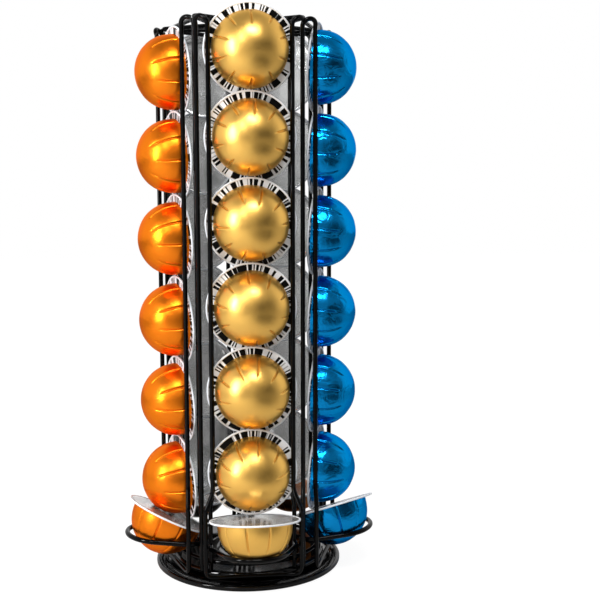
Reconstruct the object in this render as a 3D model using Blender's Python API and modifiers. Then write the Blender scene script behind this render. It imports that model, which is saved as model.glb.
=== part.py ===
"""Turning wire carousel for dome capsules: five columns around a vertical axis.

The base dish stands on a table. A turntable disc spins on the dish's rivet and
carries the wires. In each column six capsules stand on edge, shingled, and a
seventh lies lid up in a wire cradle. Metres, +Z up, the front column at -Y.
"""
import math

import bpy
from mathutils import Vector

# Columns and capsules
COLUMN_NAMES = ("gold", "blue", "copper", "silver", "orange")
STANDING = 6
FLANGE_R = 0.0307
FLANGE_T = 0.0018
FLANGE_BRIM = 0.0054
CAPSULE_H = 0.0288
LEAN = math.radians(4.0)
COLUMN_ROOM = 0.00548
# How far each lying capsule's lid centre is beyond the standing lids' plane, and its
# lid's tilts inward and sideways
SEAT_OUTS = (0.0197, 0.0117, 0.0142, 0.0122, 0.0102)
SEAT_TILTS = tuple(math.radians(angle) for angle in (11.0, 19.0, 17.0, 21.0, 27.5))
SEAT_ROLLS = tuple(math.radians(angle) for angle in (0.0, 13.5, -5.0, 4.0, 0.0))
CAPSULE_SIDES = 16
# Dome outline from the crown to the flange: radius and height as shares
DOME_SHARES = ((0.0, 1.0), (0.5, 0.866), (0.8, 0.6), (0.95, 0.312))

# Clearances
CLEAR = 0.0003
DOME_SIDE_CLEAR = 0.0005
RAIL_CLEAR = 0.0010
BACK_CLEAR = 0.0008
LEG_CLEAR = 0.0005
FLARE_CLEAR = 0.0034

# Wires
WIRE_R = 0.0016
BACK_WIRE_R = 0.0015
CRADLE_WIRE_R = 0.00175
TIE_WIRE_R = 0.0015
GAP_POST_INSET = 0.0021
BACK_INSET = 0.0040
FOOT_STEP_OUT = 0.0019
FLARE_RISE = 0.013
RAIL_OVER_TOP_CAPSULE = 0.0206
HAIRPIN_RISE = 0.0044
HAIRPIN_BOW = 0.0022
HAIRPIN_STEPS = 6
HAIRPIN_OPEN_STEPS = 2
BACK_BEND = 0.005
FLARE_BEND = 0.012
FOOT_BEND = 0.005
POST_FOOT_BEND = 0.0034
BEND_STEPS = 3
FLARE_STEPS = 2

# Cradles
CRADLE_OUT = 0.0330
CRADLE_ARC_SHARE = 0.887
CRADLE_LEG_Z = 0.0277
CRADLE_SLOPE = math.radians(5.0)
CRADLE_ARC_STEPS = 10

# Star that ties the tops
STAR_INNER_R = 0.0222
STAR_TIP_OUT = 0.001
STAR_RISE = 0.0008
STAR_TIP_BEND = 0.003
STAR_INNER_BEND = 0.005
RING_SIDES = 32
RING_TUBE_SIDES = 8

# Turntable disc
DISC_T = 0.0012
DISC_DEPTH = 0.0035
DISC_EDGE = 0.0026
DISC_SIDES = 36

# Base dish
DISH_OVERHANG = 0.0012
DISH_RIM_H = 0.0038
DISH_RIM_W = 0.0024
DISH_RIM_ROUND = 0.0009
DISH_T = 0.0010
DISH_FLOOR_Z = 0.0034
DISH_LIFT = 0.0004
FOOT_PAD_INSET = 0.0030
BEARING_R = 0.020
BEARING_W = 0.009
WIRE_OVER_DISH = 0.0039

# Rivet
RIVET_R = 0.003
RIVET_HEAD_R = 0.007
RIVET_HEAD_T = 0.0009
RIVET_TOP_R = 0.0065
RIVET_TOP_T = 0.0024
RIVET_BRIM_SHARE = 0.35
RIVET_CROWN_SHARE = 0.5
SPIN_CLEAR = 0.0003

# Fitting one piece to the next
FIT_STEP = 0.000006
MERGE_DISTANCE = 0.00001
ARC_SAMPLES = 12

# Derived places: a column's own frame is (lateral, distance from the axis, height)
COLUMN_STEP = 2 * math.pi / len(COLUMN_NAMES)
HALF_STEP = COLUMN_STEP / 2
LID_PLANE = (FLANGE_R + COLUMN_ROOM) / math.tan(HALF_STEP)
SEAT_RADII = tuple(LID_PLANE + out for out in SEAT_OUTS)
GAP_POST_R = LID_PLANE / math.cos(HALF_STEP) - GAP_POST_INSET
DOME_R = FLANGE_R - FLANGE_BRIM
GUARD_HALF = DOME_R + WIRE_R + DOME_SIDE_CLEAR
GUARD_CHORD = math.sqrt(FLANGE_R ** 2 - GUARD_HALF ** 2)
GUARD_PLANE = (LID_PLANE + FLANGE_T * math.cos(LEAN) + GUARD_CHORD * math.sin(LEAN)
               + WIRE_R + RAIL_CLEAR)
FOOT_PLANE = GUARD_PLANE + FOOT_STEP_OUT
BACK_HALF = FLANGE_R - BACK_INSET
BACK_CHORD = math.sqrt(FLANGE_R ** 2 - BACK_HALF ** 2)
BACK_PLANE = LID_PLANE - BACK_CHORD * math.sin(LEAN) - BACK_WIRE_R - BACK_CLEAR
PITCH = (FLANGE_R + DOME_R + CLEAR) / math.cos(LEAN)
CRADLE_ARC_R = DOME_R * CRADLE_ARC_SHARE
CRADLE_CENTRE = FOOT_PLANE + CRADLE_OUT - CRADLE_ARC_R
DISC_R = FOOT_PLANE - WIRE_R - CLEAR
FOOT_Z = DISH_RIM_H + WIRE_OVER_DISH
DISC_TOP_Z = FOOT_Z + DISC_DEPTH / 2


def leg_half(plane, wire_r, least):
    """Half the spread of two legs that pass beside the lying capsule's flange."""
    reach = min(abs(radius - plane) / math.cos(tilt)
                for radius, tilt in zip(SEAT_RADII, SEAT_TILTS))
    room = FLANGE_R + wire_r + LEG_CLEAR
    return max(least, math.sqrt(max(0, room ** 2 - reach ** 2)))


FOOT_HALF = leg_half(FOOT_PLANE, WIRE_R, GUARD_HALF)
BACK_FOOT_HALF = leg_half(BACK_PLANE, BACK_WIRE_R, BACK_HALF)
CRADLE_HALF = FOOT_HALF - WIRE_R - CRADLE_WIRE_R - CLEAR
CRADLE_END = BACK_PLANE + BACK_WIRE_R + CLEAR
DISH_R = math.hypot(FOOT_HALF, FOOT_PLANE) + DISH_OVERHANG
FOOT_PAD_R = DISH_R - DISH_RIM_W - FOOT_PAD_INSET
RING_R = math.hypot(BACK_FOOT_HALF, BACK_PLANE) - BACK_WIRE_R - TIE_WIRE_R - CLEAR


def capsule_outline():
    """Capsule outline as (radius, height) from the crown down, lid at height zero."""
    dome = [(DOME_R * radius, FLANGE_T + (CAPSULE_H - FLANGE_T) * height)
            for radius, height in DOME_SHARES]
    return dome + [(DOME_R, FLANGE_T), (FLANGE_R, FLANGE_T), (FLANGE_R, 0), (0, 0)]


def cradle_path():
    """Centre line of a cradle in its column's frame."""
    reach = CRADLE_CENTRE - FOOT_PLANE
    distance = math.hypot(reach, CRADLE_HALF)
    start = (math.atan2(CRADLE_HALF, -reach)
             - math.acos(CRADLE_ARC_R / distance))
    flat = [(-CRADLE_HALF, CRADLE_END), (-CRADLE_HALF, FOOT_PLANE)]
    for step in range(CRADLE_ARC_STEPS + 1):
        angle = start - 2 * start * step / CRADLE_ARC_STEPS
        flat.append((-CRADLE_ARC_R * math.sin(angle),
                     CRADLE_CENTRE + CRADLE_ARC_R * math.cos(angle)))
    flat += [(CRADLE_HALF, FOOT_PLANE), (CRADLE_HALF, CRADLE_END)]
    return [Vector((lateral, out, CRADLE_LEG_Z + (out - FOOT_PLANE) * math.tan(CRADLE_SLOPE)))
            for lateral, out in flat]


def segment_distance(point, start, end):
    """Distance from a point to a segment, as plane pairs or vectors."""
    along = end - start
    share = max(0, min(1, (point - start).dot(along) / along.dot(along)))
    return (point - start - share * along).length


def outline_distance(point, outline):
    """Signed distance from a (radius, height) point to the capsule's outline."""
    pairs = list(zip(outline, outline[1:]))
    gap = min(segment_distance(point, start, end) for start, end in pairs)
    inside = 0
    for start, end in pairs:
        if (start.y > point.y) != (end.y > point.y):
            crossing = start.x + (point.y - start.y) / (end.y - start.y) * (end.x - start.x)
            inside += crossing > point.x
    return -gap if inside % 2 else gap


def lid_normal(column):
    """Direction that a lying capsule's lid faces, in its column's frame."""
    tilt, roll = SEAT_TILTS[column], SEAT_ROLLS[column]
    return Vector((math.cos(tilt) * math.sin(roll), -math.sin(tilt),
                   math.cos(tilt) * math.cos(roll)))


def lid_height_beside(column, lid_z):
    """Height of a lying lid's plane at the higher of the two front legs."""
    normal = lid_normal(column)
    inward = SEAT_RADII[column] - FOOT_PLANE
    return lid_z + (normal.y * inward + abs(normal.x) * FOOT_HALF) / normal.z


def capsule_gap(column, lid_z, points):
    """Smallest distance from points to a lying capsule whose lid centre is at lid_z."""
    outline = [Vector(pair) for pair in capsule_outline()]
    centre = Vector((0, SEAT_RADII[column], lid_z))
    axis = -lid_normal(column)
    gaps = []
    for point in points:
        offset = point - centre
        height = offset.dot(axis)
        gaps.append(outline_distance(Vector(((offset - height * axis).length, height)), outline))
    return min(gaps)


def dense(points, step):
    """The same path with a point at least every step."""
    fine = []
    for start, end in zip(points, points[1:]):
        count = math.ceil((end - start).length / step)
        fine += [start.lerp(end, index / count) for index in range(count)]
    return fine + [points[-1]]


def bisect(low, high, is_clear):
    """The value nearest high-side trouble that is still clear, starting clear at low."""
    while abs(high - low) > FIT_STEP:
        middle = (low + high) / 2
        if is_clear(middle):
            low = middle
        else:
            high = middle
    return low


def seat_height(column):
    """Height of the lid centre when the dome rests in its cradle."""
    wire = dense(cradle_path(), CRADLE_WIRE_R)
    room = CRADLE_WIRE_R + CLEAR
    return bisect(CRADLE_LEG_Z + 2 * CAPSULE_H, CRADLE_LEG_Z,
                  lambda lid_z: capsule_gap(column, lid_z, wire) > room)


LID_Z = [seat_height(column) for column in range(len(COLUMN_NAMES))]


def ring_height():
    """Height of the lower tie ring, just under the domes."""
    room = TIE_WIRE_R + CLEAR
    arc = [HALF_STEP * step / ARC_SAMPLES for step in range(-ARC_SAMPLES, ARC_SAMPLES + 1)]

    def is_clear(height):
        points = [Vector((RING_R * math.sin(angle), RING_R * math.cos(angle), height))
                  for angle in arc]
        return all(capsule_gap(column, lid_z, points) > room
                   for column, lid_z in enumerate(LID_Z))

    return bisect(DISC_TOP_Z + TIE_WIRE_R, CRADLE_LEG_Z, is_clear)


RING_Z = ring_height()


def standing_height(column, index):
    """Height of a standing capsule's lid centre; index 0 is the one on the lying lid."""
    normal = lid_normal(column)
    along = Vector((0, math.cos(LEAN), -math.sin(LEAN))).dot(normal)
    reach = max(radius * math.sqrt(1 - along ** 2) - height * along
                for radius, height in capsule_outline())
    inward = SEAT_RADII[column] - LID_PLANE
    return LID_Z[column] + (CLEAR + reach + normal.y * inward) / normal.z + index * PITCH


TOP_Z = standing_height(0, STANDING - 1) + RAIL_OVER_TOP_CAPSULE
FLARE_LOW_Z = FLARE_CLEAR + max(lid_height_beside(column, lid_z)
                                for column, lid_z in enumerate(LID_Z))
FLARE_HIGH_Z = FLARE_LOW_Z + FLARE_RISE


def clear_scene():
    """Remove whatever the scene starts with."""
    for item in list(bpy.data.objects):
        bpy.data.objects.remove(item, do_unlink=True)


def material(name, color, metallic, roughness):
    """A Principled material."""
    shade = bpy.data.materials.new(name)
    shade.use_nodes = True
    shader = shade.node_tree.nodes["Principled BSDF"]
    shader.inputs["Base Color"].default_value = (*color, 1)
    shader.inputs["Metallic"].default_value = metallic
    shader.inputs["Roughness"].default_value = roughness
    return shade


def make_materials():
    """Every material by name."""
    return {
        "gold": material("gold_foil", (0.78, 0.56, 0.20), 1, 0.28),
        "blue": material("blue_foil", (0.02, 0.34, 0.62), 1, 0.25),
        "copper": material("copper_foil", (0.45, 0.22, 0.12), 1, 0.28),
        "silver": material("silver_foil", (0.62, 0.62, 0.63), 1, 0.28),
        "orange": material("orange_foil", (0.93, 0.38, 0.02), 1, 0.28),
        "wire": material("black_wire", (0.012, 0.012, 0.013), 0, 0.18),
        "disc": material("black_disc", (0.014, 0.014, 0.015), 0, 0.15),
        "dish": material("black_dish", (0.018, 0.018, 0.019), 0, 0.15),
        "rivet": material("steel_rivet", (0.55, 0.55, 0.56), 1, 0.3),
        "bearing": material("bearing_plastic", (0.75, 0.75, 0.73), 0, 0.45),
        "rubber": material("foot_rubber", (0.02, 0.02, 0.02), 0, 0.8),
    }


def link(item, collection, parent=None):
    """Put an object in the part's collection, under a parent empty."""
    collection.objects.link(item)
    item.parent = parent
    return item


def outline_mesh(name, outline, shade, closed=False):
    """A mesh of edges only, for a Screw modifier."""
    mesh = bpy.data.meshes.new(name)
    count = len(outline)
    edges = [(index, index + 1) for index in range(count - 1)]
    if closed:
        edges.append((count - 1, 0))
    mesh.from_pydata([(radius, 0, height) for radius, height in outline], edges, [])
    mesh.materials.append(shade)
    return mesh


def turned(name, mesh, sides, collection, parent=None):
    """A solid turned from an outline mesh."""
    item = link(bpy.data.objects.new(name, mesh), collection, parent)
    screw = item.modifiers.new("turn", "SCREW")
    screw.steps = sides
    screw.render_steps = sides
    screw.use_merge_vertices = True
    screw.merge_threshold = MERGE_DISTANCE
    screw.use_smooth_shade = True
    return item


def rounded(corners, bends, steps, closed=False):
    """A path through corners, each rounded with its own bend radius."""
    count = len(corners)
    path = []
    for index, (corner, bend) in enumerate(zip(corners, bends)):
        if not closed and index in (0, count - 1):
            path.append(corner)
            continue
        into = (corner - corners[index - 1]).normalized()
        onward = (corners[(index + 1) % count] - corner).normalized()
        turn = into.angle(onward)
        setback = bend * math.tan(turn / 2)
        centre = corner + (onward - into).normalized() * bend / math.cos(turn / 2)
        first = corner - into * setback - centre
        side = into * bend
        for step in range(steps + 1):
            angle = turn * step / steps
            path.append(centre + first * math.cos(angle) + side * math.sin(angle))
    return path


def wire(name, path, radius, shade, collection, parent=None, closed=False):
    """A round wire along a path given as (lateral, distance out, height)."""
    curve = bpy.data.curves.new(name, "CURVE")
    curve.dimensions = "3D"
    curve.bevel_depth = radius
    curve.bevel_resolution = 2
    curve.use_fill_caps = not closed
    spline = curve.splines.new("POLY")
    spline.points.add(len(path) - 1)
    spline.use_cyclic_u = closed
    for point, (lateral, out, height) in zip(spline.points, path):
        point.co = (lateral, -out, height, 1)
    curve.materials.append(shade)
    return link(bpy.data.objects.new(name, curve), collection, parent)


def column_empty(column, collection):
    """An empty on the spin axis, turned to face its column."""
    empty = bpy.data.objects.new(f"{COLUMN_NAMES[column]}_column", None)
    empty.rotation_euler.z = column * COLUMN_STEP
    return link(empty, collection)


def gap_point(side, height, radius=GAP_POST_R):
    """A point between two columns, in this column's frame."""
    return Vector((side * radius * math.sin(HALF_STEP), radius * math.cos(HALF_STEP), height))


def hairpin(start, end):
    """Arch between the tops of two legs, bowed out so that a flange can pass."""
    outward = Vector((start.y - end.y, end.x - start.x, 0)).normalized()
    path = []
    for step in range(HAIRPIN_STEPS + 1):
        angle = math.pi * step / HAIRPIN_STEPS
        point = start.lerp(end, (1 - math.cos(angle)) / 2)
        point += outward * HAIRPIN_BOW * math.sin(angle)
        point.z += HAIRPIN_RISE * (math.sin(angle) - 1)
        path.append(point)
    return path


def mirrored(path):
    """The other side of a column's wire, run back from its end."""
    return [Vector((-point.x, point.y, point.z)) for point in reversed(path)]


def guard_path():
    """One bent wire: post, hairpin, front leg, foot bar, front leg, open hairpin."""
    arch = hairpin(gap_point(-1, TOP_Z), Vector((-GUARD_HALF, GUARD_PLANE, TOP_Z)))
    foot = [gap_point(-1, FOOT_Z, DISC_R + CLEAR), gap_point(-1, FOOT_Z), arch[0]]
    half = [arch[-1],
            Vector((-GUARD_HALF, GUARD_PLANE, FLARE_HIGH_Z)),
            Vector((-FOOT_HALF, FOOT_PLANE, FLARE_LOW_Z)),
            Vector((-FOOT_HALF, FOOT_PLANE, FOOT_Z))]
    bends = [0, FLARE_BEND, FLARE_BEND, FOOT_BEND]
    steps = [0, FLARE_STEPS, FLARE_STEPS, BEND_STEPS]
    legs = rounded_by(half + mirrored(half), bends + bends[::-1], steps + steps[::-1])
    return (rounded_by(foot, [0, POST_FOOT_BEND, 0], [0, BEND_STEPS, 0])[:-1] + arch
            + legs[1:-1] + mirrored(arch[HAIRPIN_OPEN_STEPS:]))


def rounded_by(corners, bends, steps):
    """An open rounded path whose corners have their own number of steps."""
    path = [corners[0]]
    for index in range(1, len(corners) - 1):
        path += rounded(corners[index - 1:index + 2], [0, bends[index], 0], steps[index])[1:-1]
    return path + [corners[-1]]


def back_path():
    """Inverted U behind the lids, its legs spread beside the lying capsule."""
    half = [Vector((BACK_FOOT_HALF, BACK_PLANE, DISC_TOP_Z + CLEAR)),
            Vector((BACK_FOOT_HALF, BACK_PLANE, FLARE_LOW_Z)),
            Vector((BACK_HALF, BACK_PLANE, FLARE_HIGH_Z)),
            Vector((BACK_HALF, BACK_PLANE, TOP_Z))]
    bends = [0, FLARE_BEND, FLARE_BEND, BACK_BEND]
    steps = [0, FLARE_STEPS, FLARE_STEPS, BEND_STEPS]
    return rounded_by(half + mirrored(half), bends + bends[::-1], steps + steps[::-1])


def star_path():
    """Closed star whose tips lie in the notches between the hairpins."""
    tip_half_angle = math.atan2(GAP_POST_R * math.sin(HALF_STEP),
                                GAP_POST_R * math.cos(HALF_STEP) - STAR_INNER_R) - HALF_STEP
    tip = GAP_POST_R + STAR_TIP_OUT + STAR_TIP_BEND * (1 / math.sin(tip_half_angle) - 1)
    corners, bends = [], []
    for column in range(len(COLUMN_NAMES)):
        for angle, radius, bend in ((column * COLUMN_STEP, STAR_INNER_R, STAR_INNER_BEND),
                                    (column * COLUMN_STEP + HALF_STEP, tip, STAR_TIP_BEND)):
            corners.append(Vector((radius * math.sin(angle), radius * math.cos(angle),
                                   TOP_Z + STAR_RISE)))
            bends.append(bend)
    return rounded(corners, bends, BEND_STEPS, closed=True)


def make_capsules(column, empty, shades, collection):
    """Six standing capsules and the lying one, numbered from the top."""
    name = COLUMN_NAMES[column]
    mesh = outline_mesh(f"{name}_capsule", capsule_outline(), shades[name])
    for number in range(1, STANDING + 1):
        item = turned(f"{name}_capsule_{number}", mesh, CAPSULE_SIDES, collection, empty)
        item.location = (0, -LID_PLANE, standing_height(column, STANDING - number))
        item.rotation_euler.x = math.pi / 2 + LEAN
    item = turned(f"{name}_capsule_{STANDING + 1}", mesh, CAPSULE_SIDES, collection, empty)
    item.location = (0, -SEAT_RADII[column], LID_Z[column])
    item.rotation_euler.x = math.pi - SEAT_TILTS[column]
    item.rotation_euler.y = SEAT_ROLLS[column]


def make_wires(column, empty, shades, collection):
    """The wires of one column."""
    number = column + 1
    wire(f"guard_wire_{number}", guard_path(), WIRE_R, shades["wire"], collection, empty)
    wire(f"back_rail_{number}", back_path(), BACK_WIRE_R, shades["wire"], collection, empty)
    wire(f"cradle_{number}", cradle_path(), CRADLE_WIRE_R, shades["wire"], collection, empty)


def make_ties(shades, collection):
    """The star at the top and the ring under the domes."""
    wire("top_star", star_path(), TIE_WIRE_R, shades["wire"], collection, closed=True)
    bpy.ops.mesh.primitive_torus_add(
        major_radius=RING_R, minor_radius=TIE_WIRE_R, major_segments=RING_SIDES,
        minor_segments=RING_TUBE_SIDES, location=(0, 0, RING_Z))
    ring = bpy.context.object
    ring.name = "lower_tie_ring"
    ring.data.materials.append(shades["wire"])
    ring.data.shade_smooth()
    for owner in list(ring.users_collection):
        owner.objects.unlink(ring)
    link(ring, collection)


def make_disc(shades, collection):
    """Pressed turntable disc with a turned-down edge and a hole for the rivet."""
    low = DISC_TOP_Z - DISC_DEPTH
    hole = RIVET_R + SPIN_CLEAR
    slant = DISC_EDGE * math.cos(math.pi / 4)
    outline = [(hole, DISC_TOP_Z), (DISC_R - DISC_EDGE, DISC_TOP_Z),
               (DISC_R - DISC_EDGE + slant, DISC_TOP_Z - DISC_EDGE + slant),
               (DISC_R, DISC_TOP_Z - DISC_EDGE), (DISC_R, low), (DISC_R - DISC_T, low),
               (DISC_R - DISC_T, DISC_TOP_Z - DISC_EDGE),
               (DISC_R - DISC_EDGE, DISC_TOP_Z - DISC_T), (hole, DISC_TOP_Z - DISC_T)]
    mesh = outline_mesh("turntable_disc", outline, shades["disc"], closed=True)
    turned("turntable_disc", mesh, DISC_SIDES, collection)


def make_dish(shades, collection):
    """Base dish: thin floor, solid rolled rim, hole for the rivet."""
    hole = RIVET_R + CLEAR
    under = DISH_FLOOR_Z - DISH_T
    inner = DISH_R - DISH_RIM_W
    outline = [(hole, DISH_FLOOR_Z), (inner - DISH_RIM_ROUND, DISH_FLOOR_Z),
               (inner + DISH_RIM_ROUND, DISH_RIM_H), (DISH_R - DISH_RIM_ROUND, DISH_RIM_H),
               (DISH_R, DISH_RIM_H - DISH_RIM_ROUND), (DISH_R, DISH_LIFT + DISH_RIM_ROUND),
               (DISH_R - DISH_RIM_ROUND, DISH_LIFT), (inner, DISH_LIFT), (inner, under),
               (hole, under)]
    mesh = outline_mesh("base_dish", outline, shades["dish"], closed=True)
    turned("base_dish", mesh, DISC_SIDES, collection)


def make_bearing(shades, collection):
    """Plain thrust ring between the dish and the disc."""
    low = DISH_FLOOR_Z + CLEAR
    high = DISC_TOP_Z - DISC_T - SPIN_CLEAR
    inner = BEARING_R - BEARING_W
    outline = [(inner, high), (BEARING_R, high), (BEARING_R, low), (inner, low)]
    mesh = outline_mesh("thrust_ring", outline, shades["bearing"], closed=True)
    turned("thrust_ring", mesh, DISC_SIDES // 2, collection)


def make_rivet(shades, collection):
    """Rivet through the dish and the disc, a wide head under the dish."""
    top = DISC_TOP_Z + SPIN_CLEAR
    under = DISH_FLOOR_Z - DISH_T - CLEAR
    outline = [(0, top + RIVET_TOP_T), (RIVET_TOP_R * RIVET_CROWN_SHARE, top + RIVET_TOP_T),
               (RIVET_TOP_R, top + RIVET_TOP_T * RIVET_BRIM_SHARE), (RIVET_TOP_R, top),
               (RIVET_R, top),
               (RIVET_R, under), (RIVET_HEAD_R, under), (RIVET_HEAD_R, under - RIVET_HEAD_T),
               (0, under - RIVET_HEAD_T)]
    turned("pivot_rivet", outline_mesh("pivot_rivet", outline, shades["rivet"]),
           DISC_SIDES // 2, collection)


def make_foot(shades, collection):
    """Rubber pad under the dish that stands on the table, hollowed for the rivet's head."""
    top = DISH_FLOOR_Z - DISH_T - CLEAR
    hollow = top - RIVET_HEAD_T - CLEAR
    inner = RIVET_HEAD_R + CLEAR
    outline = [(0, hollow), (inner, hollow), (inner, top), (FOOT_PAD_R, top), (FOOT_PAD_R, 0),
               (0, 0)]
    turned("foot_pad", outline_mesh("foot_pad", outline, shades["rubber"]), DISC_SIDES,
           collection)


def main():
    """Build the whole part."""
    clear_scene()
    collection = bpy.data.collections.new("coffee_capsule_dispenser")
    bpy.context.scene.collection.children.link(collection)
    shades = make_materials()
    for column in range(len(COLUMN_NAMES)):
        empty = column_empty(column, collection)
        make_capsules(column, empty, shades, collection)
        make_wires(column, empty, shades, collection)
    make_ties(shades, collection)
    make_disc(shades, collection)
    make_dish(shades, collection)
    make_bearing(shades, collection)
    make_rivet(shades, collection)
    make_foot(shades, collection)


main()
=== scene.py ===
"""Turning wire rack full of dome capsules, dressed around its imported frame."""
import math
import random
from collections import namedtuple

import bmesh
import bpy
from bpy.props import (BoolProperty, FloatProperty, FloatVectorProperty, IntProperty,
                       PointerProperty)
from mathutils import Matrix, Vector


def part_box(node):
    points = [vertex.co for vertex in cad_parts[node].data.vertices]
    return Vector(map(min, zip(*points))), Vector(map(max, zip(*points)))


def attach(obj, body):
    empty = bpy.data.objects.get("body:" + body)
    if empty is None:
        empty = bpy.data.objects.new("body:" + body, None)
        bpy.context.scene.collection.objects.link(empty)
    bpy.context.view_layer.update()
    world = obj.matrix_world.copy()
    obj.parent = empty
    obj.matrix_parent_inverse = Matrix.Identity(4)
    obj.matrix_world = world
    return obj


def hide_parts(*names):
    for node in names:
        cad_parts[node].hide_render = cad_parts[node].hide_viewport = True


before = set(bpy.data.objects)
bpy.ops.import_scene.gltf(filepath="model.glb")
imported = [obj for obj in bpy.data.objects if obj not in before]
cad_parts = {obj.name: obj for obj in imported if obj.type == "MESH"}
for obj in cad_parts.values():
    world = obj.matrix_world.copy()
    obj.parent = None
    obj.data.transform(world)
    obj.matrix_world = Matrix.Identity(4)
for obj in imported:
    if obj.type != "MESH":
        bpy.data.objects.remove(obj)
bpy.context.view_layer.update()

bl_info = {
    "name": "Capsule Carousel",
    "version": (1, 0, 0),
    "blender": (4, 5, 0),
    "location": "View3D > Sidebar > Capsule Carousel",
    "description": "Dresses a turning wire rack of dome capsules around its packed frame",
    "category": "Object",
}

# Columns and capsules, as in the frame, in metres
COLUMN_NAMES = ("gold", "blue", "copper", "silver", "orange")
COLUMN_STEP = 2 * math.pi / len(COLUMN_NAMES)
HALF_STEP = COLUMN_STEP / 2
STANDING = 6
FLANGE_R = 0.0307
FLANGE_T = 0.0018
DOME_R = 0.0253
CAPSULE_H = 0.0288
CAD_SIDES = 16
LEAN = math.radians(4.0)
COLUMN_ROOM = 0.00548
LID_PLANE = (FLANGE_R + COLUMN_ROOM) / math.tan(HALF_STEP)
SEAT_RADII = tuple(LID_PLANE + out for out in (0.0197, 0.0117, 0.0142, 0.0122, 0.0102))
SEAT_TILTS = tuple(math.radians(angle) for angle in (11.0, 19.0, 17.0, 21.0, 27.5))
SEAT_ROLLS = tuple(math.radians(angle) for angle in (0.0, 13.5, -5.0, 4.0, 0.0))

# Clearances, and wires with their bends
CLEAR = 0.0003
LEG_CLEAR = 0.0005
FLARE_CLEAR = 0.0034
WIRE_R = 0.0016
BACK_WIRE_R = 0.0015
CRADLE_WIRE_R = 0.00175
TIE_WIRE_R = 0.0015
GAP_POST_INSET = 0.0021
DOME_SIDE_CLEAR = 0.0005
RAIL_CLEAR = 0.0010
BACK_CLEAR = 0.0008
BACK_INSET = 0.0040
GAP_POST_R = LID_PLANE / math.cos(HALF_STEP) - GAP_POST_INSET
GUARD_HALF = DOME_R + WIRE_R + DOME_SIDE_CLEAR
BACK_HALF = FLANGE_R - BACK_INSET
FOOT_STEP_OUT = 0.0019
FLARE_RISE = 0.013
RAIL_OVER_TOP_CAPSULE = 0.0206
HAIRPIN_RISE = 0.0044
HAIRPIN_BOW = 0.0022
BACK_BEND = 0.005
FLARE_BEND = 0.012
FOOT_BEND = 0.005
POST_FOOT_BEND = 0.0034
CRADLE_OUT = 0.0330
CRADLE_ARC_SHARE = 0.887
CRADLE_ARC_R = DOME_R * CRADLE_ARC_SHARE
CRADLE_LEG_Z = 0.0277
CRADLE_SLOPE = math.radians(5.0)
STAR_INNER_R = 0.0222
STAR_TIP_OUT = 0.001
STAR_RISE = 0.0008
STAR_TIP_BEND = 0.003
STAR_INNER_BEND = 0.005

# Planes of the wires, out from the axis
GUARD_CHORD = math.sqrt(FLANGE_R ** 2 - GUARD_HALF ** 2)
GUARD_PLANE = (LID_PLANE + FLANGE_T * math.cos(LEAN) + GUARD_CHORD * math.sin(LEAN)
               + WIRE_R + RAIL_CLEAR)
FOOT_PLANE = GUARD_PLANE + FOOT_STEP_OUT
BACK_CHORD = math.sqrt(FLANGE_R ** 2 - BACK_HALF ** 2)
BACK_PLANE = LID_PLANE - BACK_CHORD * math.sin(LEAN) - BACK_WIRE_R - BACK_CLEAR
CRADLE_CENTRE = FOOT_PLANE + CRADLE_OUT - CRADLE_ARC_R
FOOT_Z = 0.0077

# Turntable disc and base dish
DISC_R = FOOT_PLANE - WIRE_R - CLEAR
DISC_TOP_Z = 0.00945
DISC_T, DISC_EDGE, DISC_DEPTH, DISC_STEP = 0.0012, 0.0026, 0.0035, 0.0005
DISC_STEP_SHARES = (0.52, 0.55)
DISC_ROUND, DISC_BEND_RUN, DISC_SKIN, DISC_LIP = 0.0004, 0.0006, 0.0001, 0.0003
DISH_OVERHANG = 0.0012
DISH_RIM_H, DISH_RIM_W, DISH_ROLL = 0.0038, 0.0024, 0.0011
DISH_FLOOR_Z, DISH_T, DISH_LIFT = 0.0034, 0.0010, 0.0004
DISH_BROW_R, DISH_BROW_IN = 0.0005, 0.0002
RIVET_HOLE_R = 0.0033

# Steps pressed into the dish's floor: how far inside the rim, and how deep
DISH_STEPS = ((0.0080, 0), (0.0078, 0.00025), (0.0040, 0.00025), (0.0038, 0.0001),
              (0.0008, 0.0001))

# A capsule's outline: its flange, the fillet on it and the dished lid as shares of a
# thickness, how square its shoulder is, and how far the bead is open, in radians
FLANGE_FLOOR_SHARE, FILLET_SHARE, LID_DISH_SHARE = 0.72, 0.25, 0.25
ROUNDNESS, SQUARENESS, BEAD_OPENING = 2.0, 0.2, 0.35
PRINT_CUT_SHARES = (0.25, 0.5, 0.75)
GROOVE_CUTS = (0.0003, 0.0006, 0.0010, 0.0016)
GROOVE_GAP_SHARES = (0.2, 0.4, 0.6, 0.8)

# How finely the visual model is cut
BEND_STEPS = 8
FLARE_STEPS = 5
HAIRPIN_STEPS = 24
HAIRPIN_OPEN_STEPS = 8
CRADLE_ARC_STEPS = 40
WIRE_SIDES = 16
DOME_RINGS = 26
LID_RINGS = 11
BEAD_STEPS = 10
FILLET_STEPS = 3
DISC_SIDES = 144

# Foils; dents is a share of the dent depth
Foil = namedtuple("Foil", "roughness dents crumple coat")
FOILS = {"gold": Foil(0.35, 0.8, 0.06, 0.5), "blue": Foil(0.22, 2.2, 0.6, 0.0),
         "copper": Foil(0.34, 0.8, 0.1, 0.1), "silver": Foil(0.34, 0.8, 0.1, 0.1),
         "orange": Foil(0.33, 1.2, 0.15, 0.12)}

# Paints: lowest and highest roughness, how fine their clouds are and how much they mirror
Paint = namedtuple("Paint", "low high scale shine")
WIRE_PAINT = Paint(0.09, 0.14, 60.0, 0.12)
DISC_PAINT = Paint(0.06, 0.10, 40.0, 0.35)
DISH_PAINT = Paint(0.08, 0.16, 40.0, 0.25)
ORANGE_PEEL = 0.02

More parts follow.
